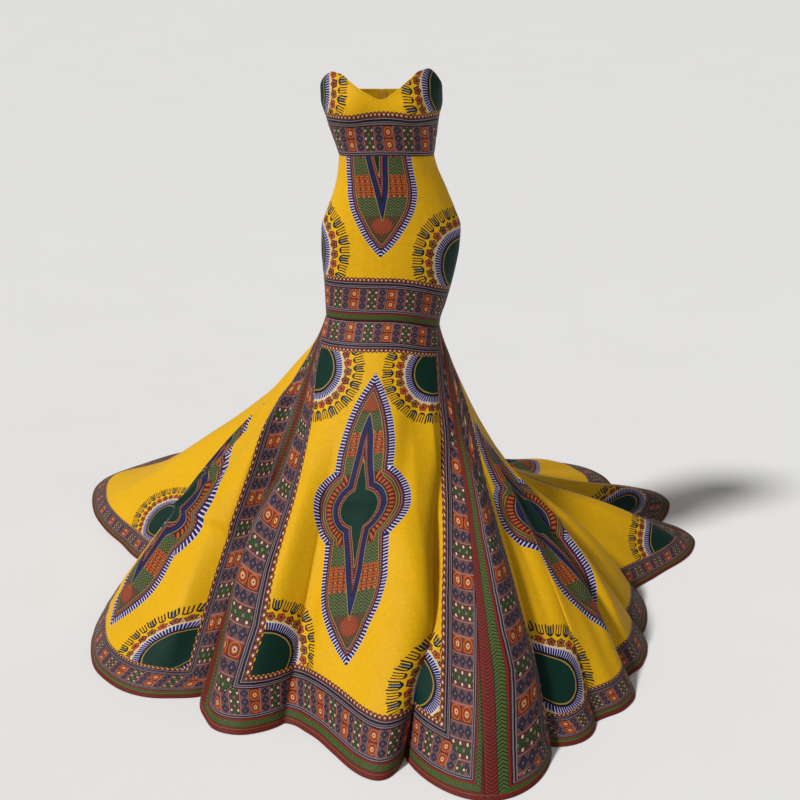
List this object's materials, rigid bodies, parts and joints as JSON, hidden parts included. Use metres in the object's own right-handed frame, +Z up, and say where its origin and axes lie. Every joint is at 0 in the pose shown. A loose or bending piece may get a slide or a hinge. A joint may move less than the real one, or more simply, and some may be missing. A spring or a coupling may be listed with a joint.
{
  "type": "strapless maxi dress",
  "caption": "Worn strapless maxi dress: fitted sweetheart bodice and hip part over a very full gored skirt that falls in deep folds to the floor and trails behind.",
  "frame": {"origin": "centre of the waist of the worn dress, where the wearer holds it up", "axes": "+Z up along the wearer, front of the dress towards -Y, +X to the right of someone facing the front"},
  "size_m": [1.7726, 2.095, 1.3898],
  "materials": {
    "printed_cotton": "plain-weave cotton with a soft waxy sheen, golden yellow ground with a printed border, suns and medallions",
    "zip_tape": "fine woven yellow tape",
    "zip_metal": "small cast metal, lightly brushed"
  },
  "bodies": {
    "dress": {"bodice_front": "printed_cotton", "bodice_back_right": "printed_cotton", "bodice_back_left": "printed_cotton", "hip_front": "printed_cotton", "hip_back_right": "printed_cotton", "hip_back_left": "printed_cotton", "skirt_front": "printed_cotton", "skirt_right": "printed_cotton", "skirt_left": "printed_cotton", "skirt_back_right": "printed_cotton", "skirt_back_left": "printed_cotton", "zip_tape": "zip_tape", "zip_slider": "zip_metal"},
    "zip_tab": {"zip_pull": "zip_metal"}
  },
  "joints": [
    {"name": "zip_tab_hinge", "type": "hinge", "parent": "dress", "child": "zip_tab", "pos_m": [-0.01092, 0.09894, 0.128], "axis": [1, 0, 0], "range_deg": [0, 160]}
  ]
}
